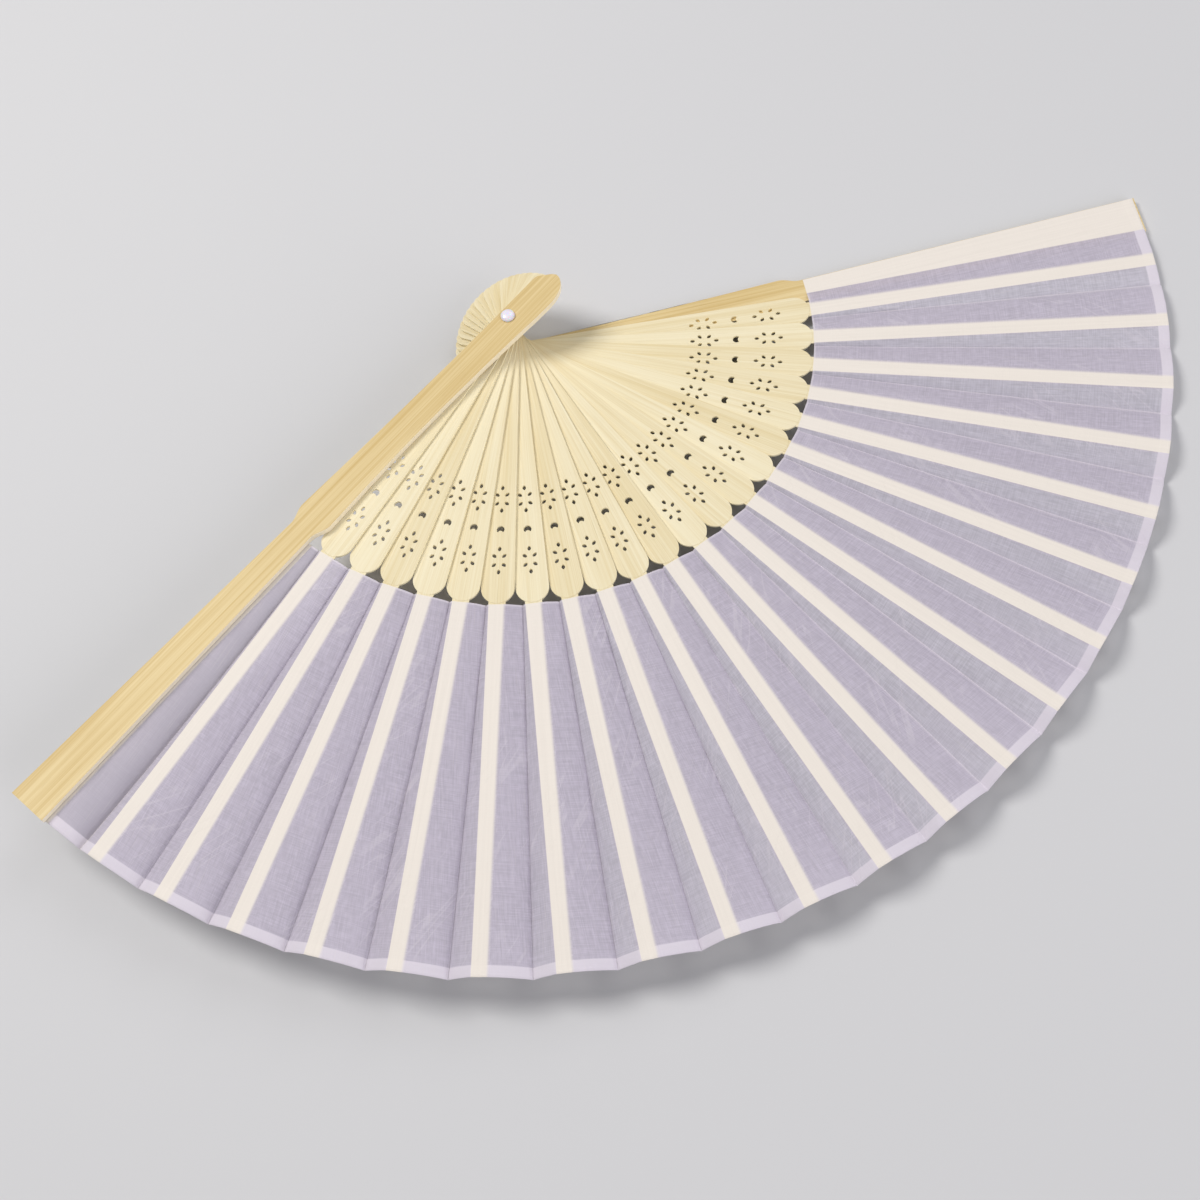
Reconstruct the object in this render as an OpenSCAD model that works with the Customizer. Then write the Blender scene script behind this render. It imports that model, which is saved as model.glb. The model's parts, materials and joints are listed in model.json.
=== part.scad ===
// Folding hand fan: pierced wooden sticks and two guards turn on one rivet,
// and a pleated cloth leaf is glued to their outer parts.
// Lying open with the back guard down: +Z is the rivet's axis, z = 0 is the
// back guard's outer face, and the fan's middle direction is -Y.

/* [Fan] */
// Rivet centre to the square tip of a guard
guard_reach = 195; // [160:1:240]
// Rivet centre to the round ends of the pierced blades
blade_reach = 90; // [75:1:105]
// Number of inner sticks between the two guards
stick_count = 21; // [9:1:25]
// Angle between neighbouring inner sticks when open
stick_pitch = 6.5; // [5:0.1:7.5]
// Angle from the back guard to the first stick when open
back_gap = 5.1; // [4:0.1:8]
// Angle from the last stick to the front guard when open
front_gap = 7; // [5:0.1:8]

/* [Inner sticks] */
// Thickness of a stick's blade
stick_t = 0.8; // [0.6:0.05:1.2]
// Clearance between two neighbours on the rivet
stick_gap = 0.05; // [0.02:0.01:0.1]
// Blade width at its round end
blade_w = 9.5; // [7:0.1:9.8]
// Blade width beside the rivet
blade_neck_w = 5.4; // [4.5:0.1:7]
// Rivet centre to the end of a stick's head
head_reach = 18.7; // [14:0.1:22]
// Width of a stick's round head
head_w = 4.8; // [4:0.1:5.4]
// How far the rib's root reaches into the blade
rib_overlap = 4; // [2:0.5:6]
// Width of the rib under the leaf at its root
rib_root_w = 4.85; // [3.5:0.05:6]
// Width of the rib under the leaf at its tip
rib_tip_w = 3.9; // [3:0.1:5]
// Thickness of the thinned rib
rib_t = 0.45; // [0.35:0.01:0.5]
// Height of the rib's underside above the blade's underside
rib_lift = 0.2; // [0.18:0.01:0.25]

/* [Piercings] */
// Blade end to the centre of the outer flower
outer_flower_back = 13.2; // [11:0.1:15]
// Blade end to the centre of the crescent
crescent_back = 22.9; // [20:0.1:25]
// Blade end to the centre of the inner flower
inner_flower_back = 32.6; // [30:0.1:35]
// Length of one petal
petal_l = 1.6; // [1:0.05:1.8]
// Width of one petal
petal_w = 1.05; // [0.5:0.05:1.2]
// Flower centre to its two petals on the stick's axis
petal_axial = 3.6; // [3:0.1:4]
// Flower centre to its four slanting petals
petal_slant = 2; // [1.8:0.05:2.2]
// Diameter of the crescent
crescent_d = 2.3; // [1.6:0.1:2.6]
// Diameter of the bite that shapes the crescent
bite_d = 1.5; // [1:0.1:1.8]

/* [Guards] */
// Thickness of a guard
guard_t = 2.2; // [1.6:0.1:3]
// Rivet centre to the point of a guard's head
guard_head = 19.8; // [17:0.1:23]
// Length of the rounded nose that ends in that point
nose_l = 8.8; // [7:0.1:10]
// Leaf-side edge of the head to the nose's point
nose_drop = 4.9; // [4:0.1:6]
// Rivet line to the outer edge of the grip, beside the rivet
grip_outer_neck = 2.7; // [2.6:0.1:4]
// Rivet line to the outer edge of the grip, at the shoulder
grip_outer_end = 4.8; // [4:0.1:6]
// Rivet line to the leaf-side edge of the grip, beside the rivet
grip_inner_neck = 6.8; // [5:0.1:8]
// Rivet line to the leaf-side edge of the grip, at the shoulder
grip_inner_end = 6.45; // [5:0.05:8]
// How far the leaf-side edge draws in between those two
grip_waist = 1; // [0:0.1:1.5]
// Length of the shoulder, where the grip narrows to the arm
shoulder_l = 6.2; // [4:0.1:10]
// Blade end to the end of the shoulder
shoulder_back = 0.8; // [0:0.1:3]
// Rivet line to the outer edge just past the shoulder
arm_outer_root = 3.2; // [2.6:0.1:4]
// Rivet line to the leaf-side edge just past the shoulder
arm_inner_root = 4.5; // [4:0.1:5.5]
// Half width of the square tip
arm_tip_half = 6.2; // [5:0.1:8]
// Depth of the recess for the leaf under the front guard's arm
arm_recess = 0.3; // [0.3:0.05:0.5]

/* [Leaf] */
// Thickness of the cloth
cloth_t = 0.12; // [0.1:0.01:0.14]
// Thickness of the folded hem
hem_t = 0.24; // [0.16:0.01:0.28]
// Width of the hem along the rim
hem_w = 3.1; // [2:0.1:5]
// Guard tip to the leaf's rim
rim_back = 0.5; // [0.3:0.1:3]
// Leaf's rim to the tips of the ribs
rib_back = 0.4; // [0.2:0.1:2]
// Blade end to the leaf's inner edge
leaf_gap = 0.3; // [0.1:0.1:1]
// Stick line to the first crease, on the back guard at the blade end
cover_root = 2; // [1:0.1:3]
// Stick line to the first crease, on the back guard at the rim
cover_tip = 5.8; // [4:0.1:6]
// Rib edge to the raised crease beside it
ridge_margin = 0.2; // [0.1:0.05:0.5]
// Widening of that margin towards the rim
ridge_flare = 0.75; // [0:0.05:1]
// Stick line to the sunken crease, at the blade end
valley_root = 3.1; // [2.9:0.1:3.6]
// Stick line to the sunken crease, at the rim
valley_tip = 8.4; // [6:0.1:9.5]
// Depth of the sunken crease at the blade end
dip_root = 0.8; // [0.3:0.1:1]
// Depth of the sunken crease at the rim
dip_tip = 4; // [1:0.1:5]

/* [Rivet] */
// Diameter of the rivet's shank
rivet_d = 2; // [1.6:0.1:2.4]
// Radial clearance of the shank in the sticks
rivet_gap = 0.05; // [0.03:0.01:0.1]
// Diameter of the domed head
dome_d = 4.3; // [3.5:0.1:5]
// Height of the domed head
dome_h = 1.3; // [0.8:0.1:1.8]
// Diameter of the rear button
button_d = 5; // [4:0.1:5.2]
// Thickness of the rear button, which lies flush in the back guard
button_t = 0.8; // [0.6:0.1:1.2]
// Radial clearance of the button in its seat
button_gap = 0.1; // [0.05:0.05:0.3]

/* [Hidden] */
$fn = 64;
wood = [0.93, 0.86, 0.66];
guard_wood = [0.90, 0.80, 0.57];
cloth = [0.80, 0.78, 0.86];
plastic = [0.92, 0.91, 0.95];

step_z = stick_t + stick_gap;
front_z = guard_t + stick_gap + stick_count * step_z;
spread = back_gap + (stick_count - 1) * stick_pitch + front_gap;
front = stick_count + 1;

leaf_in = blade_reach + leaf_gap;
leaf_out = guard_reach - rim_back;
rib_in = blade_reach - rib_overlap;
rib_out = leaf_out - rib_back;
hem_in = leaf_out - hem_w;
hem_step = 0.3;
// Layer of glue between wood and cloth
glue = 0.01;
// Clearance between pieces that turn against each other
slack = 0.05;
// Lowest place of the cloth above the table
floor_gap = 0.2;
// The cloth stops this far inside the back guard's edge, and the end tab
// this far inside the front guard's
cover_margin = 0.1;
tab_margin = 1;
// Cuts run past the faces that they open
over = 1;

shoulder_out = blade_reach - shoulder_back;
shoulder_in = shoulder_out - shoulder_l;
nose_y = grip_inner_neck - nose_drop;
// Swelling of the head's leaf-side edge beyond the grip's
brow = 0.4;

function two(n) = str(n < 10 ? "0" : "", n);
function stick_name(n) = str("stick_", two(n));
function pleat_name(n) = str("leaf_pleat_", two(n));
function mix(a, b, f) = a + (b - a) * f;
function ease(f) = f * f * (3 - 2 * f);

// Direction of stick n, where 0 is the back guard and front is the front guard
function turn(n) = n == 0 ? 0
    : n == front ? spread
    : back_gap + (n - 1) * stick_pitch;
function dir(n) = -90 + spread / 2 - turn(n);
function stick_z(n) = guard_t + stick_gap + (n - 1) * step_z;
// Underside of the cloth where it is glued to piece n
function cloth_z(n) = n == 0 ? guard_t + glue
    : n == front ? front_z + arm_recess - glue - hem_t
    : stick_z(n) + rib_lift + rib_t + glue;

// ---- Inner sticks, drawn along +X ----

module petal() {
    lens_r = (petal_l * petal_l + petal_w * petal_w) / (4 * petal_w);
    intersection() {
        translate([0, lens_r - petal_w / 2]) circle(r = lens_r);
        translate([0, petal_w / 2 - lens_r]) circle(r = lens_r);
    }
}

module flower() {
    for (s = [-1, 1]) translate([s * petal_axial, 0]) petal();
    for (a = [45, 135, 225, 315]) rotate(a) translate([petal_slant, 0]) petal();
}

module crescent() {
    difference() {
        circle(d = crescent_d);
        translate([crescent_d / 2, 0]) circle(d = bite_d);
    }
}

module blade_outline() {
    head_x = head_reach - head_w / 2;
    end_x = blade_reach - blade_w / 2;
    polygon([
        [-head_x, -head_w / 2],
        [0, -blade_neck_w / 2],
        [end_x, -blade_w / 2],
        [end_x, blade_w / 2],
        [0, blade_neck_w / 2],
        [-head_x, head_w / 2]
    ]);
    translate([-head_x, 0]) circle(d = head_w);
    translate([end_x, 0]) circle(d = blade_w);
}

module stick(n) {
    color(wood)
    translate([0, 0, stick_z(n)]) rotate(dir(n)) {
        linear_extrude(stick_t) difference() {
            blade_outline();
            circle(r = rivet_d / 2 + rivet_gap);
            translate([blade_reach - inner_flower_back, 0]) flower();
            translate([blade_reach - crescent_back, 0]) crescent();
            translate([blade_reach - outer_flower_back, 0]) flower();
        }
        translate([0, 0, rib_lift]) linear_extrude(rib_t) polygon([
            [rib_in, -rib_root_w / 2],
            [rib_out, -rib_tip_w / 2],
            [rib_out, rib_tip_w / 2],
            [rib_in, rib_root_w / 2]
        ]);
    }
}

// ---- Guards, drawn along +X with the leaf side at +Y ----

// Grip edges at share u of the way from the rivet to the shoulder
function grip_outer(u) = -mix(grip_outer_neck, grip_outer_end, pow(u, 1.6));
function grip_inner(u) = mix(grip_inner_neck, grip_inner_end, u) - grip_waist * 4 * u * (1 - u);

// Quarter of an ellipse from the head's leaf-side edge to its point
function nose() = [for (a = [0:10:80]) [
    nose_l - guard_head - nose_l * sin(a),
    nose_y + (nose_drop + brow) * cos(a)
]];
// Hooked underside of the head
function beak() = [
    [-guard_head, nose_y - 0.1],
    [0.7 - guard_head, nose_y - 1.3],
    [2.4 - guard_head, nose_y - 2.9],
    [3.7 - guard_head, mix(nose_y - 2.9, -grip_outer_neck, 0.75)],
    [4.9 - guard_head, -grip_outer_neck]
];
function outer_edge() = concat(
    [for (u = [0.1:0.1:1]) [shoulder_in * u, grip_outer(u)]],
    [for (f = [0.125:0.125:1]) [
        mix(shoulder_in, shoulder_out, f),
        -mix(grip_outer_end, arm_outer_root, ease(f))
    ]],
    [[guard_reach, -arm_tip_half]]
);
function inner_edge() = concat(
    [[guard_reach, arm_tip_half]],
    [for (f = [1:-0.125:0.125]) [
        mix(shoulder_in, shoulder_out, f),
        mix(grip_inner_end, arm_inner_root, ease(f))
    ]],
    [for (u = [1:-0.1:0.1]) [shoulder_in * u, grip_inner(u)]],
    [[0, grip_inner_neck], [-head_w, grip_inner_neck + 0.75 * brow]]
);

module guard_outline() {
    polygon(concat(outer_edge(), inner_edge(), nose(), beak()));
}

module rivet_hole() {
    translate([0, 0, -over]) cylinder(r = rivet_d / 2 + rivet_gap, h = guard_t + 2 * over);
}

module back_guard() {
    color(guard_wood)
    rotate(dir(0)) difference() {
        linear_extrude(guard_t) mirror([0, 1]) guard_outline();
        rivet_hole();
        translate([0, 0, -over])
            cylinder(r = button_d / 2 + button_gap, h = over + button_t + slack);
    }
}

module front_guard() {
    color(guard_wood)
    translate([0, 0, front_z]) rotate(dir(front)) difference() {
        linear_extrude(guard_t) guard_outline();
        rivet_hole();
        translate([blade_reach, -arm_tip_half - over, -over])
            cube([guard_reach, 2 * (arm_tip_half + over), over + arm_recess]);
    }
}

// ---- Rivet ----

module rivet_pin() {
    dome_r = (dome_h * dome_h + dome_d * dome_d / 4) / (2 * dome_h);
    seat_z = front_z + guard_t + stick_gap;
    color(plastic) {
        cylinder(d = rivet_d, h = seat_z + dome_h / 2);
        translate([0, 0, seat_z]) intersection() {
            translate([0, 0, dome_h - dome_r]) sphere(r = dome_r);
            cylinder(d = dome_d + over, h = dome_h + over);
        }
    }
}

module rivet_button() {
    color(plastic) difference() {
        cylinder(d = button_d, h = button_t);
        translate([0, 0, -over]) cylinder(d = rivet_d, h = button_t + 2 * over);
    }
}

// ---- Leaf ----

// The leaf's stations from its inner edge to its rim: [distance, thickness]
stations = [
    [leaf_in, cloth_t],
    [hem_in, cloth_t],
    [hem_in + hem_step, hem_t],
    [leaf_out, hem_t]
];
function along(r) = (r - leaf_in) / (leaf_out - leaf_in);
function rib_half(r) = mix(rib_root_w, rib_tip_w, along(r)) / 2;
// Raised crease beside piece n, on the side towards the back guard
function ridge(r) = rib_half(r) + ridge_margin + ridge_flare * along(r);
// Sunken crease on the other side
function valley(r) = mix(valley_root, valley_tip, along(r));
// How far it hangs down: it clears the table, and when the fan is shut it
// clears the back guard's edge too
function dip(n, r) = let (
    arm_half = mix(arm_inner_root, arm_tip_half, along(r)),
    past_guard = (valley(r) - rib_half(r)) / (arm_half - rib_half(r)),
    room = (cloth_z(n) - guard_t - slack) * max(1, past_guard)
) min(mix(dip_root, dip_tip, along(r)), room, cloth_z(n) - floor_gap);
// The back guard carries cloth from its outer edge to its own crease
function cover_outer(r) = mix(arm_outer_root, arm_tip_half, along(r)) - cover_margin;
function cover_inner(r) = mix(cover_root, cover_tip, along(r));

function place(n, r, y, z) = [
    r * cos(dir(n)) - y * sin(dir(n)),
    r * sin(dir(n)) + y * cos(dir(n)),
    z
];

// One station's points, from piece n - 1 round to the ridge beside piece n
function section(n, r) = concat(
    n == 1 ? [
        place(0, r, cover_outer(r), cloth_z(0)),
        place(0, r, -cover_inner(r), cloth_z(0))
    ] : [
        place(n - 1, r, ridge(r), cloth_z(n - 1)),
        place(n - 1, r, -rib_half(r) - glue, cloth_z(n - 1)),
        place(n - 1, r, -valley(r), cloth_z(n - 1) - dip(n - 1, r))
    ],
    [place(n, r, ridge(r) + slack, cloth_z(n))]
);
function raised(points, t) = [for (p = points) p + [0, 0, t]];

// Triangles that close a strip of m stations with k points below and above
function strip_faces(m, k) = let (
    low = function (i, j) i * 2 * k + j,
    top = function (i, j) i * 2 * k + k + j,
    quad = function (a, b, c, d) [[a, b, c], [a, c, d]]
) concat(
    [for (i = [0:m - 2], j = [0:k - 2])
        each quad(low(i, j), low(i, j + 1), low(i + 1, j + 1), low(i + 1, j))],
    [for (i = [0:m - 2], j = [0:k - 2])
        each quad(top(i, j), top(i + 1, j), top(i + 1, j + 1), top(i, j + 1))],
    [for (i = [0:m - 2])
        each quad(low(i, 0), low(i + 1, 0), top(i + 1, 0), top(i, 0))],
    [for (i = [0:m - 2])
        each quad(low(i + 1, k - 1), low(i, k - 1), top(i, k - 1), top(i + 1, k - 1))],
    [for (j = [0:k - 2])
        each quad(low(0, j + 1), low(0, j), top(0, j), top(0, j + 1))],
    [for (j = [0:k - 2])
        each quad(low(m - 1, j), low(m - 1, j + 1), top(m - 1, j + 1), top(m - 1, j))]
);

module strip(sections) {
    count = len(sections);
    width = len(sections[0]);
    polyhedron(
        points = [for (i = [0:count - 1]) each concat(
            sections[i],
            raised(sections[i], stations[i][1])
        )],
        faces = strip_faces(count, width)
    );
}

module leaf_pleat(n) {
    color(cloth) strip([for (s = stations) section(n, s[0])]);
}

// The leaf's last narrow strip, glued under the front guard's arm
module leaf_end_tab() {
    color(cloth)
    translate([0, 0, front_z + arm_recess - glue - cloth_t])
    rotate(dir(front)) linear_extrude(cloth_t) polygon([
        [leaf_in, tab_margin - arm_outer_root],
        [leaf_out, tab_margin - arm_tip_half],
        [leaf_out, ridge(leaf_out)],
        [leaf_in, ridge(leaf_in)]
    ]);
}

back_guard();
rivet_pin();
rivet_button();
front_guard();
leaf_end_tab();
for (n = [1:stick_count]) stick(n);
for (n = [1:front]) leaf_pleat(n);
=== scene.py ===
"""Folding hand fan, laid open: pierced sticks, two guards, a rivet and a pleated leaf."""

import json
import math

import bmesh
import bpy
from mathutils import Euler, Matrix, Vector, noise
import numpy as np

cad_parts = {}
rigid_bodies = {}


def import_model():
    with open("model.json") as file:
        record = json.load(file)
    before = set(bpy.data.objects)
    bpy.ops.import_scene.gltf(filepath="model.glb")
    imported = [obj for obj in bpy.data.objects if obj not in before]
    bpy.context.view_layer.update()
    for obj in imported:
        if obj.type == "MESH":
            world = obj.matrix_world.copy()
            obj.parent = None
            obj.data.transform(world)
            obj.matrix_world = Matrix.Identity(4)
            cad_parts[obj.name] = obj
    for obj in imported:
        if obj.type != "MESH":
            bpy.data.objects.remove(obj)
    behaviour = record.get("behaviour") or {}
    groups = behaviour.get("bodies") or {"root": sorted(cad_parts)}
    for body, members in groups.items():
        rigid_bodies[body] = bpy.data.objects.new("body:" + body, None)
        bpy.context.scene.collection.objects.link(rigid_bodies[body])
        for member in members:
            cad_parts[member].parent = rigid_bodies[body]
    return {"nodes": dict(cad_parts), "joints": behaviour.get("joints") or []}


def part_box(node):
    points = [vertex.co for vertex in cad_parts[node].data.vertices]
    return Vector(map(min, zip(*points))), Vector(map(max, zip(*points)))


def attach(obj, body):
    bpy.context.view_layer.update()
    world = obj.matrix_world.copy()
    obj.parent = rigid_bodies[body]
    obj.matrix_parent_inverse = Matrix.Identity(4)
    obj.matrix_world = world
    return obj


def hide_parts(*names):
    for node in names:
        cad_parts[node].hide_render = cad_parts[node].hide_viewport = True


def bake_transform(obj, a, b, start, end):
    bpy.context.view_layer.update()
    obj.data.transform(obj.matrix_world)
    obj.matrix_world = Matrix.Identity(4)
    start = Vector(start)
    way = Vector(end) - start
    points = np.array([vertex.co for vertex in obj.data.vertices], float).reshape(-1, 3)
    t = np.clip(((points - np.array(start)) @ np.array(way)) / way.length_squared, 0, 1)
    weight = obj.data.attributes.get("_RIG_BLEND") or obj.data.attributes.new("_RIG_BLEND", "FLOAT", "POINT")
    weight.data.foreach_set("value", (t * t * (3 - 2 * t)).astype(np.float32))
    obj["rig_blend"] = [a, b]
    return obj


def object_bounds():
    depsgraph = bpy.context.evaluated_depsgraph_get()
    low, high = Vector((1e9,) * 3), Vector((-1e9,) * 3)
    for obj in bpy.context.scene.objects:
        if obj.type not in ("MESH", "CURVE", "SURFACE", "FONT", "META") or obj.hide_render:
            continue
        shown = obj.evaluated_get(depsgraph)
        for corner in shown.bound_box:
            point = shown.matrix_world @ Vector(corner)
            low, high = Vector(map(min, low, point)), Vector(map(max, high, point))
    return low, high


bl_info = {
    "name": "Folding Hand Fan",
    "version": (1, 0, 0),
    "blender": (4, 5, 0),
    "location": "View3D > Sidebar > Fan",
    "description": "Builds the wood, rivet and pleated cloth of a folding hand fan",
    "category": "Object",
}

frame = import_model()
CAD_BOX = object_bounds()
MM = 0.001

# Each joint carries the next piece of the fan, from the back guard to the front guard,
# and its range is the angle between the two when the fan is open.
BODIES = [frame["joints"][0]["parent"]] + [joint["child"] for joint in frame["joints"]]
GAPS = [math.radians(joint["range_deg"][1]) for joint in frame["joints"]]
LAST = len(GAPS)


def heading(n):
    """The direction of piece n from the rivet, where 0 is the back guard."""
    return -math.pi / 2 + sum(GAPS) / 2 - sum(GAPS[:n])


def mix(a, b, share):
    return a + (b - a) * share


def ease(share):
    """Goes from 0 to 1 with a level start and end."""
    share = min(max(share, 0.0), 1.0)
    return share * share * (3 - 2 * share)


# ---- Settings ----


def length(name, text, default):
    """A length setting. Its default is in millimetres."""
    return bpy.props.FloatProperty(
        name=name, description=text, default=default * MM, min=0, unit="LENGTH", precision=5
    )


def colour(name, text, default):
    return bpy.props.FloatVectorProperty(
        name=name, description=text, default=default, size=3, min=0, max=1, subtype="COLOR"
    )


def factor(name, text, default):
    return bpy.props.FloatProperty(
        name=name, description=text, default=default, min=0, max=1, subtype="FACTOR"
    )


class FanWoodSettings(bpy.types.PropertyGroup):
    """Edges and colours of the sticks and guards."""

    stick_edge: length("Stick edge", "Rounding of the sticks' edges", 0.18)
    guard_edge: length("Guard edge", "Rounding of the guards' edges", 0.4)
    stick_light: colour("Stick light", "Colour between the fibres of a stick", (0.84, 0.76, 0.54))
    stick_dark: colour("Stick dark", "Colour of the fibres of a stick", (0.71, 0.585, 0.325))
    # Painted light: a paler, yellower colour on the stick's side walls and rounded edges, standing in for
    # bounce light and light through the thin wood
    stick_lit_side: colour("Stick lit side", "Colour of a stick's sides", (1.0, 0.90, 0.62))
    guard_light: colour("Guard light", "Colour between the fibres of a guard", (0.76, 0.61, 0.33))
    guard_dark: colour("Guard dark", "Colour of the fibres of a guard", (0.60, 0.43, 0.17))
    # Painted light: a paler, yellower colour on the guard's side walls and rounded edges, standing in for
    # bounce light and light through the thin wood
    guard_lit_side: colour("Guard lit side", "Colour of a guard's sides", (1.0, 0.90, 0.70))


class FanRivetSettings(bpy.types.PropertyGroup):
    """Shape and colour of the rivet."""

    dome_height: length("Dome height", "Height of the rivet's domed head", 1.3)
    shank: length("Shank", "Radius of the rivet's shank", 1)
    tint: colour("Tint", "Colour of the rivet's plastic", (0.80, 0.77, 0.86))


class FanLeafSettings(bpy.types.PropertyGroup):
    """Sizes and colours of the cloth leaf."""

    blade_reach: length("Blade reach", "Rivet to the round ends of the blades", 90)
    guard_reach: length("Guard reach", "Rivet to the square tips of the guards", 195)
    root_gap: length("Root gap", "Blade end to the leaf's inner edge", 0.3)
    rim_back: length("Rim back", "Guard tip to the leaf's rim", 0.5)
    hem: length("Hem", "Width of the folded hem", 3.1)
    hem_lift: length("Hem lift", "Height between the two layers of the hem", 0.12)
    rib_root: length("Rib root", "Half width of a rib at the blade end", 2.425)
    rib_tip: length("Rib tip", "Half width of a rib at its tip", 1.95)
    ridge_root: length("Ridge root", "Stick line to the raised crease at the blade end", 2.625)
    ridge_tip: length("Ridge tip", "Stick line to the raised crease at the rim", 2.9)
    valley_root: length("Valley root", "Stick line to the sunken crease at the blade end", 3.1)
    valley_tip: length("Valley tip", "Stick line to the sunken crease at the rim", 8.4)
    dip_root: length("Dip root", "Depth of the sunken crease at the blade end", 0.8)
    dip_tip: length("Dip tip", "Depth of the sunken crease at the rim", 4)
    arm_root: length("Arm root", "Rivet line to a guard's leaf-side edge at the blade end", 4.5)
    arm_tip: length("Arm tip", "Rivet line to a guard's leaf-side edge at the rim", 6.2)
    cover_root: length("Cover root", "Rivet line to the glued edge at the blade end", 3.1)
    cover_tip: length("Cover tip", "Rivet line to the glued edge at the rim", 6.1)
    crease_root: length("First crease root", "Rivet line to the first crease, blade end", 2)
    crease_tip: length("First crease tip", "Rivet line to the first crease at the rim", 5.8)
    tab_margin: length("Tab margin", "Front guard's edge to the end of the leaf", 1)
    table_gap: length("Table gap", "Lowest place of the cloth above the table", 0.25)
    peek: length("Peek", "Cloth that shows beside the front guard at the blade end", 0.9)
    pinch: length("Pinch", "Extra depth of the pressed line of a sunken crease", 0.3)
    crown: length("Crown", "Height of the soft bulge of a wide panel", 0.9)
    crown_last: length("Last crown", "Height of the bulge beside the front guard", 1.2)
    wrinkle: length("Wrinkle", "Height of the cloth's soft wrinkles", 0.25)
    crumple: length("Crumple", "Height of the cloth's sharp slanting wrinkles", 0.1)
    cloth: colour("Cloth", "Colour of the free cloth", (0.57, 0.523, 0.62))
    # Painted sheen: a bluer tone on the narrow panels, standing in for the silk's sheen at their angle of
    # fold
    sheen_and_shadow: colour("Painted sheen", "Colour of the free cloth on the narrow panels", (0.59, 0.567, 0.64))
    glued: colour("Glued", "Colour of the cloth over wood", (0.83, 0.77, 0.70))
    folded: colour("Folded", "Colour of the hem", (0.74, 0.69, 0.76))
    cover: factor("Cover", "Share of light that the weave stops", 0.82)


class FanStageSettings(bpy.types.PropertyGroup):
    """The table, the lights and the camera."""

    table: bpy.props.FloatProperty(
        name="Table", description="Width of the table", default=12, min=1, unit="LENGTH"
    )
    table_colour: colour("Table colour", "Colour of the table", (0.62, 0.62, 0.63))
    key: bpy.props.FloatProperty(
        name="Key light", description="Power of the key light", default=8.9, min=0, unit="POWER"
    )
    fill: bpy.props.FloatProperty(
        name="Fill light", description="Power of each fill light", default=6.85, min=0, unit="POWER"
    )
    sky: factor("Sky", "Brightness of the light from all round", 0.3)
    lens: bpy.props.FloatProperty(
        name="Lens", description="Focal length", default=54.2, min=1, unit="CAMERA"
    )


# ---- Materials ----


class Level:
    """A number that varies over a surface. Arithmetic on it adds Math nodes."""

    def __init__(self, finish, socket):
        self.finish = finish
        self.socket = socket

    def maths(self, operation, *numbers):
        made = self.finish.node(
            "ShaderNodeMath", {"operation": operation}, dict(enumerate(numbers))
        )
        return Level(self.finish, made.outputs[0])

    def __add__(self, other):
        return self.maths("ADD", self, other)

    def __radd__(self, other):
        return self.maths("ADD", other, self)

    def __sub__(self, other):
        return self.maths("SUBTRACT", self, other)

    def __rsub__(self, other):
        return self.maths("SUBTRACT", other, self)

    def __mul__(self, other):
        return self.maths("MULTIPLY", self, other)

    def __rmul__(self, other):
        return self.maths("MULTIPLY", other, self)

    def step(self, start, end):
        """0 where this is below start, 1 above end, and smooth between them."""
        made = self.finish.node(
            "ShaderNodeMapRange",
            {"interpolation_type": "SMOOTHSTEP"},
            {"Value": self, "From Min": start, "From Max": end},
        )
        return Level(self.finish, made.outputs[0])


class Finish:
    """A material while its nodes are added."""

    def __init__(self, name):
        self.material = bpy.data.materials.new(name)
        self.material.use_nodes = True
        self.tree = self.material.node_tree
        self.shader = self.tree.nodes["Principled BSDF"]

    def put(self, socket, value):
        if isinstance(value, Level):
            self.tree.links.new(value.socket, socket)
        elif isinstance(value, bpy.types.NodeSocket):
            self.tree.links.new(value, socket)
        else:
            socket.default_value = value

    def node(self, kind, settings=None, inputs=None):
        made = self.tree.nodes.new(kind)
        for key, value in (settings or {}).items():
            setattr(made, key, value)
        for key, value in (inputs or {}).items():
            self.put(made.inputs[key], value)
        return made

    def shade(self, **inputs):
        for key, value in inputs.items():
            self.put(self.shader.inputs[key.replace("_", " ")], value)

    def attribute(self, name):
        return self.node("ShaderNodeAttribute", {"attribute_name": name})

    def speckle(self, place, scale, detail=2.0, offset=(0, 0, 0)):
        """Noise from 0 to 1 with its own scale along each axis."""
        stretched = self.node(
            "ShaderNodeVectorMath",
            {"operation": "MULTIPLY_ADD"},
            {0: place, 1: scale, 2: offset},
        )
        made = self.node(
            "ShaderNodeTexNoise",
            {},
            {"Vector": stretched.outputs[0], "Scale": 1.0, "Detail": detail},
        )
        return Level(self, made.outputs["Fac"])

    def mixed(self, share, first, second):
        """A colour between two colours."""
        made = self.node(
            "ShaderNodeMix",
            {"data_type": "RGBA", "clamp_factor": True},
            {0: share, 6: tinted(first), 7: tinted(second)},
        )
        return made.outputs[2]

    def bump(self, height, distance, strength=1.0):
        made = self.node(
            "ShaderNodeBump", {}, {"Height": height, "Distance": distance, "Strength": strength}
        )
        return made.outputs["Normal"]


def tinted(value):
    """A colour with its fourth channel, or a link as it is."""
    return value if isinstance(value, bpy.types.NodeSocket) else (*value, 1.0)


def scaled(shade, amount):
    return tuple(min(channel * amount, 1.0) for channel in shade)


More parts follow.
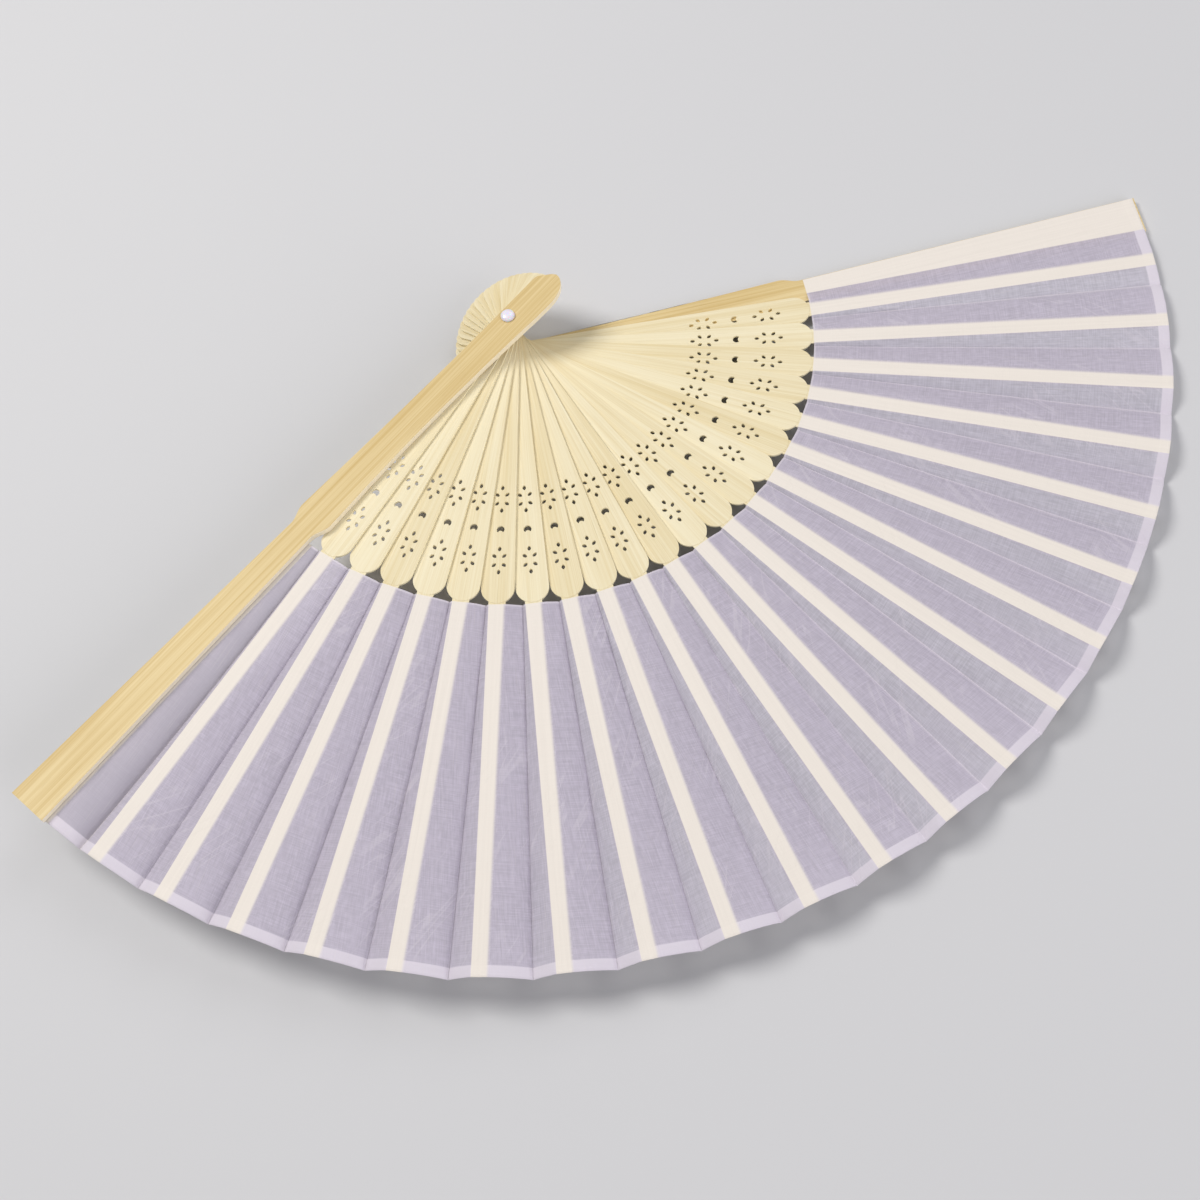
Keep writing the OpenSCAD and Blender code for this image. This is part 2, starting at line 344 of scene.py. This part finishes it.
def wood_finish(name, light, dark, lit_side, streak):
    """Straight-grained pale wood. The grain attribute runs along, across and through it.

    Each speckle's scale is in waves to the metre in those three directions.
    """
    finish = Finish(name)
    grain = finish.attribute("grain").outputs["Vector"]
    tone = Level(finish, finish.attribute("tone").outputs["Fac"])
    side = Level(finish, finish.attribute("side").outputs["Fac"])
    fibre = finish.speckle(grain, (30, 3800, 2000), 3.0)
    band = finish.speckle(grain, (5, 900, 600), 2.0, (3, 0, 0))
    cloud = finish.speckle(grain, (25, 90, 60), 1.0, (7, 0, 0))
    vessel = finish.speckle(grain, (90, 5200, 3000), 1.0, (11, 0, 0)).step(0.68, 0.78)
    share = (fibre - 0.5) * 0.9 + (band - 0.5) * streak + (cloud - 0.5) * 0.5 + 0.4 + tone
    body = finish.mixed(share.step(0.0, 1.0), light, dark)
    # Painted light: corners that face sideways take the paler, yellower side colour, standing in for bounce
    # light on the walls and light through the thin wood
    body = finish.mixed(side, body, lit_side)
    finish.shade(
        Base_Color=finish.mixed(vessel * 0.35, body, scaled(dark, 0.72)),
        Roughness=0.46 + fibre * 0.16 + vessel * 0.1,
        Normal=finish.bump(fibre - vessel * 0.6, 0.03 * MM, 0.6),
        Specular_IOR_Level=0.35,
    )
    return finish.material


def cloth_finish(settings, hem_start):
    """Thin woven cloth. Its UV map is in metres, across the pleat and along the stick.

    Each speckle's scale is in waves to the metre.
    The backed layer is 1 over wood and on a painted light line beside the front guard, pressed
    is 1 on a sunken crease with a painted highlight, and shot is 1 on the narrow panels, whose
    bluer tone is a painted sheen, and below 0 on the last wide panel, which has a painted shadow.
    """
    finish = Finish("leaf_cloth")
    weave = finish.node("ShaderNodeUVMap", {"uv_map": "weave"}).outputs[0]
    backed_and_lit_edge = Level(finish, finish.attribute("backed_and_lit_edge").outputs["Fac"])
    split = finish.node("ShaderNodeSeparateXYZ", {}, {0: weave})
    across, along = (Level(finish, split.outputs[axis]) for axis in "XY")
    hem = along.step(hem_start - 0.2 * MM, hem_start + 0.2 * MM)
    root = 1 - along.step(0.3 * MM, 0.8 * MM)
    warp = finish.speckle(weave, (3600, 110, 1), 2.0)
    weft = finish.speckle(weave, (110, 3600, 1), 2.0, (0, 0, 5))
    slub = finish.speckle(weave, (5200, 60, 1), 1.0, (0, 0, 9)).step(0.64, 0.76)
    crepe = finish.speckle(weave, (900, 500, 1), 2.0, (0, 0, 13))
    cloud = finish.speckle(weave, (60, 25, 1), 2.0, (0, 0, 17))
    thread = warp * 0.5 + weft * 0.5
    sheen_and_shadow = Level(finish, finish.attribute("sheen_and_shadow").outputs["Fac"])
    narrow = sheen_and_shadow.maths("MAXIMUM", sheen_and_shadow, 0.0)
    pressed_and_lit = Level(finish, finish.attribute("pressed_and_lit").outputs["Fac"])
    # Painted sheen: the narrow panels take the bluer colour
    free = finish.mixed(
        (thread - 0.5) * 3.4 + (crepe - 0.5) * 1.3 + 0.4,
        finish.mixed(narrow, scaled(settings.cloth, 0.88), scaled(settings.sheen_and_shadow, 0.88)),
        finish.mixed(narrow, scaled(settings.cloth, 1.1), scaled(settings.sheen_and_shadow, 1.11)),
    )
    # Painted shadow of the front guard on the last wide panel, where the layer is below 0
    free = finish.mixed(sheen_and_shadow * -1.0, free, scaled(settings.cloth, 0.69))
    free = finish.mixed((cloud - 0.4) * 0.8, free, scaled(settings.cloth, 1.06))
    axes = {0: across * 0.8 - along * 0.6, 1: along * 0.8 + across * 0.6}
    slant = finish.node("ShaderNodeCombineXYZ", {}, axes).outputs[0]
    patch = finish.speckle(weave, (50, 40, 1), 1.0, (0, 0, 25)).step(0.48, 0.6)
    ripple = finish.speckle(slant, (260, 26, 1), 1.0, (0, 0, 29)) - 0.5
    crumple = (1 - ripple.maths("ABSOLUTE", ripple).step(0.0, 0.03)) * patch
    crumple = crumple * (sheen_and_shadow + 1).step(0.0, 1.0)
    free = finish.mixed(crumple * 0.36, free, settings.folded)
    # The sunken crease is lighter: partly the folded cloth's own tone, partly a painted highlight on the
    # pieces where light catches it
    free = finish.mixed(pressed_and_lit, free, settings.folded)
    free = finish.mixed(hem.maths("MAXIMUM", hem * 0.9, root * 0.8), free, settings.folded)
    fibre = finish.speckle(weave, (1500, 12, 1), 2.0, (0, 0, 21))
    glued = finish.mixed(
        thread * 0.5 + fibre * 0.5, scaled(settings.glued, 0.9), scaled(settings.glued, 1.07)
    )
    base = finish.mixed(backed_and_lit_edge, free, glued)
    base = finish.mixed(slub * 0.25, base, scaled(settings.glued, 1.05))
    open_share = (1 - settings.cover) * (0.6 + (1 - thread) * 0.8) * (1 - backed_and_lit_edge * 0.9)
    finish.shade(
        Base_Color=base,
        Alpha=1 - open_share * (1 - hem * 0.7),
        Roughness=0.72 + thread * 0.15,
        Normal=finish.bump(thread + crepe * 1.2 + slub * 0.5 + crumple, 0.05 * MM, 0.7),
        Sheen_Weight=0.25,
        Sheen_Roughness=0.4,
        Specular_IOR_Level=0.25,
    )
    return finish.material


def plastic_finish(tint):
    """Cloudy moulded plastic."""
    finish = Finish("rivet_plastic")
    place = finish.node("ShaderNodeTexCoord").outputs["Object"]
    haze = finish.speckle(place, (700, 700, 700), 2.0)
    finish.shade(
        Base_Color=finish.mixed(haze, scaled(tint, 0.94), scaled(tint, 1.06)),
        Roughness=0.24 + haze * 0.12,
        Normal=finish.bump(haze, 0.01 * MM, 0.4),
        Subsurface_Weight=0.35,
        Subsurface_Scale=1 * MM,
        Coat_Weight=0.3,
    )
    return finish.material


def plain_finish(name, shade, roughness):
    finish = Finish(name)
    finish.shade(Base_Color=tinted(shade), Roughness=roughness)
    return finish.material


# ---- Shared steps ----

# Points closer than this are one point
WELD = 0.001 * MM
# Faces that meet at less than the first angle are one face, and past the second an edge is cut
FLAT = math.radians(1)
SHARP = math.radians(50)
# Where the grain's pattern starts in each piece, so that no two look the same
GRAIN_STEP = Vector((0.83, 0.047, 0))
# How much darker or lighter than the others a piece of wood can be, and how fast that changes
TONE_SWING = 0.12
TONE_TURN = 2.4


def add_piece(context, name, bm, material):
    """Makes an object of a finished bmesh, at the origin."""
    mesh = bpy.data.meshes.new(name)
    bm.to_mesh(mesh)
    bm.free()
    mesh.materials.append(material)
    piece = bpy.data.objects.new(name, mesh)
    context.scene.collection.objects.link(piece)
    return piece


def stand_for(piece, body, slot, *nodes):
    """The piece rides on a body and is shown in place of CAD nodes."""
    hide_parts(*nodes)
    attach(piece, body)


def rounded_copy(node, rounding, segments):
    """A CAD node's shape with its sharp edges rounded."""
    bm = bmesh.new()
    bm.from_mesh(frame["nodes"][node].data)
    bmesh.ops.remove_doubles(bm, verts=bm.verts, dist=WELD)
    bmesh.ops.dissolve_limit(bm, angle_limit=FLAT, verts=bm.verts, edges=bm.edges)
    sharp = [edge for edge in bm.edges if edge.is_manifold and edge.calc_face_angle(0) > SHARP]
    made = bmesh.ops.bevel(
        bm,
        geom=sharp,
        offset=rounding,
        offset_type="OFFSET",
        affect="EDGES",
        segments=segments,
        profile=0.5,
        material=-1,
        clamp_overlap=True,
    )
    for face in made["faces"]:
        face.smooth = True
    return bm


def lay_grain(bm, n):
    """Notes on each corner how far it is along, across and through piece n.

    It also notes the piece's tone, and how far the corner faces sideways, where the wall gets painted light.
    """
    grain = bm.verts.layers.float_vector.new("grain")
    tone = bm.verts.layers.float.new("tone")
    side = bm.verts.layers.float.new("side")
    bm.normal_update()
    turned_back = Matrix.Rotation(-heading(n), 3, "Z")
    for vert in bm.verts:
        vert[grain] = turned_back @ vert.co + GRAIN_STEP * n
        vert[tone] = TONE_SWING * math.sin(TONE_TURN * n)
        # Painted light on the side walls and rounded edges, stronger the more the corner faces sideways
        vert[side] = ease(1.5 - 1.6 * abs(vert.normal.z))


# ---- Sticks and guards ----


class FAN_OT_sticks(bpy.types.Operator):
    """Rounds the edges of every inner stick and gives it its grain"""

    bl_idname = "fan.sticks"
    bl_label = "Sticks"

    def execute(self, context):
        settings = context.scene.fan_wood
        material = wood_finish(
            "stick_wood", settings.stick_light, settings.stick_dark, settings.stick_lit_side, 0.7
        )
        for n in range(1, LAST):
            bm = rounded_copy(BODIES[n], settings.stick_edge, 2)
            lay_grain(bm, n)
            piece = add_piece(context, "wood_" + BODIES[n], bm, material)
            stand_for(piece, BODIES[n], "stick_wood", BODIES[n])
        return {"FINISHED"}


class FAN_OT_guards(bpy.types.Operator):
    """Rounds the edges of both guards and gives them their grain"""

    bl_idname = "fan.guards"
    bl_label = "Guards"

    def execute(self, context):
        settings = context.scene.fan_wood
        material = wood_finish(
            "guard_wood", settings.guard_light, settings.guard_dark, settings.guard_lit_side, 1.3
        )
        for n in (0, LAST):
            bm = rounded_copy(BODIES[n], settings.guard_edge, 3)
            lay_grain(bm, n)
            piece = add_piece(context, "wood_" + BODIES[n], bm, material)
            stand_for(piece, BODIES[n], "guard_wood", BODIES[n])
        return {"FINISHED"}


# ---- Rivet ----


def turned(profile, steps=48):
    """A closed solid spun round the rivet's axis from (radius, height) points."""
    bm = bmesh.new()
    verts = [bm.verts.new((radius, 0, height)) for radius, height in profile]
    edges = [bm.edges.new(pair) for pair in zip(verts, verts[1:])]
    bmesh.ops.spin(
        bm,
        geom=verts + edges,
        axis=(0, 0, 1),
        cent=(0, 0, 0),
        angle=2 * math.pi,
        steps=steps,
        use_merge=True,
    )
    bmesh.ops.remove_doubles(bm, verts=bm.verts, dist=WELD)
    bmesh.ops.recalc_face_normals(bm, faces=bm.faces)
    for face in bm.faces:
        face.smooth = True
    return bm


class FAN_OT_rivet(bpy.types.Operator):
    """Turns the domed rivet and the button that closes it"""

    bl_idname = "fan.rivet"
    bl_label = "Rivet"

    def execute(self, context):
        settings = context.scene.fan_rivet
        material = plastic_finish(settings.tint)
        low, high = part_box("rivet_pin")
        rise = settings.dome_height
        seat = high.z - rise
        lip = 0.15 * MM
        bend = [math.radians(a) for a in range(0, 91, 9)]
        profile = [(0, low.z), (settings.shank, low.z), (settings.shank, seat)]
        profile += [(high.x - lip, seat), (high.x, seat + lip)]
        profile += [
            (high.x * math.cos(a) ** 0.8, seat + lip + (rise - lip) * math.sin(a)) for a in bend[1:]
        ]
        pin = add_piece(context, "rivet", turned(profile), material)
        stand_for(pin, BODIES[0], "rivet_plastic", "rivet_pin")
        low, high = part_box("rivet_button")
        inner = settings.shank
        profile = [(inner, low.z), (high.x - lip, low.z), (high.x, low.z + lip)]
        profile += [(high.x, high.z), (inner, high.z), (inner, low.z)]
        button = add_piece(context, "rear_button", turned(profile), material)
        stand_for(button, BODIES[0], "rivet_plastic", "rivet_button")
        return {"FINISHED"}


# ---- Leaf ----


# Height of a panel's bulge per unit of its curve, which is share**0.6 * (1 - share)
BULGE = 2.3
# Parts of the bulge that are left at the blade end and on a narrow panel
ROOT_BULGE = 0.15
NARROW_BULGE = 0.4
# How many panels beside the front guard the bulge takes to reach its last height
LAST_PANELS = 5
# Part of its spread that the last sunken crease keeps at the rim, under the guard
LAST_SPREAD = 0.65
# Part of the leaf, from the blade end, along which cloth shows beside the front guard
PEEK_REACH = 2 / 3


class Leaf:
    """The pleated cloth's shape, worked out from its settings and the CAD nodes."""

    def __init__(self, settings):
        self.sizes = settings
        self.root = settings.blade_reach + settings.root_gap
        self.rim = settings.guard_reach - settings.rim_back
        self.hem_start = self.rim - settings.hem
        self.lift = 0.03 * MM
        self.guard_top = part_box(BODIES[0])[1].z
        self.bed = [self.guard_top] + [self.rib_top(n) for n in range(1, LAST)]
        self.bed.append(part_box("leaf_end_tab")[0].z - settings.hem_lift - self.lift)

    def rib_top(self, n):
        """Height of stick n's rib, on which the cloth is glued."""
        far = (self.root + self.rim) / 2
        return max(v.co.z for v in frame["nodes"][BODIES[n]].data.vertices if v.co.xy.length > far)

    def along(self, r):
        return (r - self.root) / (self.rim - self.root)

    def rib_half(self, r):
        return mix(self.sizes.rib_root, self.sizes.rib_tip, self.along(r))

    def arm(self, r):
        return mix(self.sizes.arm_root, self.sizes.arm_tip, self.along(r))

    def ridge(self, n, r):
        """Line of piece n to its raised crease. The last is at the front guard's edge."""
        if n == LAST:
            return self.arm(r) + self.sizes.peek * (1 - ease(self.along(r) / PEEK_REACH))
        return mix(self.sizes.ridge_root, self.sizes.ridge_tip, self.along(r))

    def crown(self, n, r, share):
        """Bulge of a panel. It is steep at the sunken crease, where share is 0."""
        last = max(n - LAST + LAST_PANELS, 0) / LAST_PANELS
        height = mix(self.sizes.crown, self.sizes.crown_last, last)
        height *= mix(ROOT_BULGE, 1, self.along(r))
        return BULGE * height * share**0.6 * (1 - share)

    def valley(self, n, r):
        """Line of piece n to its sunken crease. The last is drawn in under the guard."""
        share = LAST_SPREAD * self.along(r) ** 2 if n == LAST - 1 else self.along(r)
        return mix(self.sizes.valley_root, self.sizes.valley_tip, share)

    def cover_edge(self, r):
        """Outer edge of the cloth on the back guard."""
        return mix(self.sizes.cover_root, self.sizes.cover_tip, self.along(r))

    def first_crease(self, r):
        return mix(self.sizes.crease_root, self.sizes.crease_tip, self.along(r))

    def dip(self, n, r):
        """Depth of the fold beside piece n. Shut, it clears the back guard's edge."""
        past_guard = (self.valley(n, r) - self.rib_half(r)) / (self.arm(r) - self.rib_half(r))
        room = (self.bed[n] - self.guard_top) * max(past_guard, 1.0)
        wanted = mix(self.sizes.dip_root, self.sizes.dip_tip, self.along(r))
        return min(wanted, room, self.bed[n] - self.sizes.table_gap)

    def local(self, n, r, y, z):
        return Matrix.Rotation(heading(n), 3, "Z") @ Vector((r, y, z))


# Where the columns of a pleat's grid lie: shares of the way across each span
GLUED_COLUMNS = (0.0, 0.06, 0.11, 0.16, 0.21, 0.5, 0.8, 0.97)
SLOPE_COLUMNS = (0.0, 0.08, 0.2, 0.34, 0.48, 0.62, 0.76, 0.88, 0.96)
RISE_COLUMNS = (0.0, 0.03, 0.1, 0.19, 0.28, 0.37, 0.46, 0.55, 0.64, 0.73, 0.82, 0.9, 0.96, 1.0)
TUCK_COLUMNS = (0.4, 1.0)
ROW_STEP = 1.6 * MM
# Where the weave's pattern starts in each pleat, so that no two pleats look the same
WEAVE_STEP = 0.04
# Share of a glued strip over which the wood behind it fades at the raised crease
SOFT_EDGE = 0.21
# Share of a free panel over which its wrinkles fade in from each crease
WAVE_FADE = 0.25
# Pieces over which the sunken crease turns from a pressed line with a painted highlight to a deeper fold
LIT_CREASES = (9, 13)
DEEP_CREASES = (10, 14)
# How much of the painted highlight the column beside a pressed line gets
CREASE_SIDE = 0.55
# Pieces over which the narrow panels lose their painted sheen, a bluer tone
SHEEN_PANELS = (12, 19)
# Painted shadow of the front guard on the last wide panel: its depth at the sunken crease and at the guard
LAST_SHADE = (1.0, 0.6)
# Share of that panel, from the guard's edge, over which the painted shadow fades
SHADE_FADE = 0.125


def passed(n, pieces):
    """How far piece n is past the first of two pieces, from 0 to 1."""
    first, last = pieces
    return ease((n - first) / (last - first))


def leaf_rows(leaf):
    """The rows of a pleat's grid: (distance along the stick, height, distance along the cloth)."""
    plain = round((leaf.hem_start - leaf.root) / ROW_STEP)
    rows = [(mix(leaf.root, leaf.hem_start, i / plain), 0.0) for i in range(plain)]
    lift = leaf.sizes.hem_lift
    rows += [(mix(leaf.hem_start, leaf.rim, i / 4), lift * min(i, 1)) for i in range(5)]
    rows += [(leaf.rim + lift / 2, lift / 2)]
    rows += [(mix(leaf.rim, leaf.hem_start, i / 3), 0.0) for i in range(4)]
    run, done = [], 0.0
    for i, (r, height) in enumerate(rows):
        if i:
            done += math.hypot(r - rows[i - 1][0], height - rows[i - 1][1])
        run.append((r, height, done))
    return run


def wrinkled(leaf, n, x, y):
    """Height of the cloth's wrinkles at a place. The numbers are waves to the metre."""
    soft = noise.noise(Vector((x * 75, y * 75, n * 1.7)))
    soft += 0.5 * noise.noise(Vector((x * 170, y * 170, n * 2.3)))
    slant = (x + y) * 420, (x - y) * 60, n * 3.1
    sharp = 1 - abs(noise.noise(Vector(slant))) * 3
    return leaf.sizes.wrinkle * soft + leaf.sizes.crumple * max(sharp, 0.0)


def pleat_point(leaf, n, span, share, r):
    """(place, share that follows the next piece) of the cloth between pieces n - 1 and n."""
    before = n - 1
    bed = leaf.bed[before] + leaf.lift
    if before == 0:
        start, edge = leaf.cover_edge(r), -leaf.first_crease(r)
        valley = leaf.local(0, r, edge, bed)
    else:
        start, edge = leaf.ridge(before, r), -leaf.rib_half(r)
        valley = leaf.local(before, r, -leaf.valley(before, r), bed - leaf.dip(before, r))
    if span == "glued":
        return leaf.local(before, r, mix(start, edge, share), bed), 0.0
    if span == "slope":
        place = leaf.local(before, r, edge, bed).lerp(valley, share)
        place.z += NARROW_BULGE * leaf.crown(1, r, 1 - share)
        return place, 0.0
    ridge = leaf.local(n, r, leaf.ridge(n, r), leaf.bed[n] + leaf.lift)
    if span == "tuck":
        end = leaf.local(n, r, leaf.sizes.tab_margin - leaf.cover_edge(r), ridge.z)
        return ridge.lerp(end, share), 1.0
    place = valley.lerp(ridge, share)
    shut = valley.lerp(leaf.local(before, r, leaf.ridge(n, r), ridge.z), share)
    turn = math.atan2(shut.y, shut.x) - math.atan2(place.y, place.x)
    if n > 1:
        place.z += leaf.crown(n, r, share)
    return place, turn / GAPS[before]


def pleat_columns(n):
    """(span, share) of each column of pleat n."""
    columns = [("glued", share) for share in GLUED_COLUMNS]
    if n > 1:
        columns += [("slope", share) for share in SLOPE_COLUMNS]
    columns += [("rise", share) for share in RISE_COLUMNS]
    if n == LAST:
        columns += [("tuck", share) for share in TUCK_COLUMNS]
    return columns


def pleat_mesh(leaf, n):
    """A grid laid over pleat n, with its weave and the layers that its finish and fold read."""
    columns = pleat_columns(n)
    rows = leaf_rows(leaf)
    wide, tall = len(columns) - 1, len(rows) - 1
    bm = bmesh.new()
    bmesh.ops.create_grid(bm, x_segments=wide, y_segments=tall, size=0.5)
    backed_and_lit_edge = bm.verts.layers.float.new("backed_and_lit_edge")
    pressed_and_lit = bm.verts.layers.float.new("pressed_and_lit")
    sheen_and_shadow = bm.verts.layers.float.new("sheen_and_shadow")
    follow = bm.verts.layers.float.new("follow")
    grid = {}
    for vert in bm.verts:
        i, j = round((vert.co.x + 0.5) * wide), round((vert.co.y + 0.5) * tall)
        span, share = columns[i]
        r, height, _ = rows[j]
        place, vert[follow] = pleat_point(leaf, n, span, share, r)
        if span in ("slope", "rise"):
            wave = ease(share / WAVE_FADE) * ease((1 - share) / WAVE_FADE)
            place.z += wave * wrinkled(leaf, n, place.x, place.y)
        place.z += height
        if span == "glued":
            vert[backed_and_lit_edge] = 1.0 if n == 1 else ease(share / SOFT_EDGE)
        # Beside the front guard the last columns take the glued colour: a light line that is partly the
        # folded cloth's own tone and partly painted light on a strip in the guard's shadow
        elif span == "tuck" or (n == LAST and share > 0.9):
            vert[backed_and_lit_edge] = 1.0
        # Painted highlight on the pressed line, strongest on the first pieces, where light catches the
        # crease
        if span == "rise" and n > 1 and share <= RISE_COLUMNS[1]:
            vert[pressed_and_lit] = (1 - passed(n, LIT_CREASES)) * (CREASE_SIDE if share else 1.0)
        if span == "rise" and n > 1 and share == 0.0:
            place.z -= leaf.sizes.pinch * passed(n, DEEP_CREASES)
        # Painted shadow of the front guard over the last wide panel, deepest at the sunken crease and gone
        # in the last eighth at the guard's edge
        if span == "rise" and n == LAST:
            vert[sheen_and_shadow] = -mix(*LAST_SHADE, share) * ease((1 - share) / SHADE_FADE)
        # Painted sheen on the narrow panels, fading out over the pieces towards the front guard
        if span == "slope" and share > 0.0:
            vert[sheen_and_shadow] = 1 - passed(n, SHEEN_PANELS)
        place.z = max(place.z, leaf.sizes.table_gap)
        vert.co = place
        grid[i, j] = vert
    lay_weave(bm, grid, rows, wide, tall, WEAVE_STEP * n)
    for face in bm.faces:
        face.smooth = True
    return bm


def lay_weave(bm, grid, rows, wide, tall, start):
    """A UV map in metres: across the cloth as it lies in its row, and along the stick."""
    weave = bm.loops.layers.uv.new("weave")
    across = {}
    for j in range(tall + 1):
        run = start
        for i in range(wide + 1):
            if i:
                run += (grid[i, j].co - grid[i - 1, j].co).length
            across[grid[i, j]] = (run, rows[j][2])
    for face in bm.faces:
        for loop in face.loops:
            loop[weave].uv = across[loop.vert]


def flat_size(bm, start):
    """(width and length, area) of a pleat's cloth when it is flat."""
    weave = bm.loops.layers.uv["weave"]
    corners = [loop[weave].uv for face in bm.faces for loop in face.loops]
    width = max(corner.x for corner in corners) - start
    tall = max(corner.y for corner in corners)
    area = sum(face.calc_area() for face in bm.faces)
    return (round(width, 4), round(tall, 4)), round(area, 6)


class FAN_OT_leaf(bpy.types.Operator):
    """Lays the pleated cloth over the ribs and guards"""

    bl_idname = "fan.leaf"
    bl_label = "Leaf"

    def execute(self, context):
        settings = context.scene.fan_leaf
        leaf = Leaf(settings)
        material = cloth_finish(settings, leaf.hem_start - leaf.root)
        for n in range(1, LAST + 1):
            node = f"leaf_pleat_{n:02d}"
            bm = pleat_mesh(leaf, n)
            flat, area = flat_size(bm, WEAVE_STEP * n)
            follow = bm.verts.layers.float["follow"]
            shares = [vert[follow] for vert in bm.verts]
            piece = add_piece(context, node.replace("leaf", "cloth"), bm, material)
            stand = [node] + (["leaf_end_tab"] if n == LAST else [])
            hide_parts(*stand)
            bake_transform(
                piece,
                BODIES[n - 1],
                BODIES[n],
                start=leaf.local(n - 1, leaf.rim, 0, 0),
                end=leaf.local(n, leaf.rim, 0, 0),
            )
            piece.data.attributes["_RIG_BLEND"].data.foreach_set("value", shares)
        return {"FINISHED"}


# ---- Stage ----

# Each light's name, azimuth and elevation in degrees, and distance and width in metres
KEY_LIGHT = ("key_light", 128, 55, 1.2, 0.5)
FRONT_FILL = ("front_fill", -70, 30, 1.3, 1.1)
SIDE_FILL = ("side_fill", 20, 45, 1.3, 0.9)
# Where the camera stands in metres, and its turn in degrees
CAMERA_PLACE = (-0.0873, -0.2890, 0.4727)
CAMERA_TURN = (23.914, 5.382, -30.185)
# The table's depth below the lowest place of the fan
TABLE_DROP = 0.05 * MM


def add_light(context, name, azimuth, elevation, distance, size, power, tint):
    """An area light that looks at the fan's middle."""
    data = bpy.data.lights.new(name, "AREA")
    data.shape = "DISK"
    data.size = size
    data.energy = power
    data.color = tint
    lamp = bpy.data.objects.new(name, data)
    context.scene.collection.objects.link(lamp)
    low, high = CAD_BOX
    middle = (low + high) / 2
    turn = Euler((0, -math.radians(elevation), math.radians(azimuth)))
    away = turn.to_matrix() @ Vector((1, 0, 0))
    lamp.location = middle + away * distance
    lamp.rotation_euler = away.to_track_quat("Z", "Y").to_euler()


class FAN_OT_stage(bpy.types.Operator):
    """Adds the table, the studio lights and the camera"""

    bl_idname = "fan.stage"
    bl_label = "Stage"

    def execute(self, context):
        settings = context.scene.fan_stage
        bm = bmesh.new()
        bmesh.ops.create_grid(bm, x_segments=1, y_segments=1, size=settings.table / 2)
        bmesh.ops.translate(bm, verts=bm.verts, vec=(0, 0, -TABLE_DROP))
        floor = add_piece(
            context, "table", bm, plain_finish("table", settings.table_colour, 0.85)
        )
        add_light(context, *KEY_LIGHT, settings.key, (1.0, 0.98, 0.95))
        add_light(context, *FRONT_FILL, settings.fill, (0.98, 0.96, 1.0))
        add_light(context, *SIDE_FILL, settings.fill / 2, (0.97, 0.97, 1.0))
        world = bpy.data.worlds.new("studio")
        world.use_nodes = True
        sky = world.node_tree.nodes["Background"]
        sky.inputs["Color"].default_value = (0.96, 0.97, 1.0, 1.0)
        sky.inputs["Strength"].default_value = settings.sky
        context.scene.world = world
        context.scene.view_settings.view_transform = "Standard"
        data = bpy.data.cameras.new("camera")
        data.lens = settings.lens
        camera = bpy.data.objects.new("camera", data)
        camera.location = CAMERA_PLACE
        camera.rotation_euler = [math.radians(angle) for angle in CAMERA_TURN]
        context.scene.collection.objects.link(camera)
        context.scene.camera = camera
        return {"FINISHED"}


# ---- Panel ----


class FAN_PT_build(bpy.types.Panel):
    """Lists the steps that build the fan"""

    bl_idname = "FAN_PT_build"
    bl_label = "Folding hand fan"
    bl_space_type = "VIEW_3D"
    bl_region_type = "UI"
    bl_category = "Fan"

    def draw(self, context):
        for step in STEPS:
            self.layout.operator(step.bl_idname)


STEPS = (FAN_OT_stage, FAN_OT_sticks, FAN_OT_guards, FAN_OT_rivet, FAN_OT_leaf)
SETTINGS = {
    "fan_wood": FanWoodSettings,
    "fan_rivet": FanRivetSettings,
    "fan_leaf": FanLeafSettings,
    "fan_stage": FanStageSettings,
}


def register():
    for group in (*SETTINGS.values(), *STEPS, FAN_PT_build):
        bpy.utils.register_class(group)
    for name, group in SETTINGS.items():
        setattr(bpy.types.Scene, name, bpy.props.PointerProperty(type=group))


def unregister():
    for name in SETTINGS:
        delattr(bpy.types.Scene, name)
    for group in (FAN_PT_build, *reversed(STEPS), *SETTINGS.values()):
        bpy.utils.unregister_class(group)


def main():
    register()
    bpy.ops.fan.stage()
    bpy.ops.fan.sticks()
    bpy.ops.fan.guards()
    bpy.ops.fan.rivet()
    bpy.ops.fan.leaf()


if __name__ == "__main__":
    main()
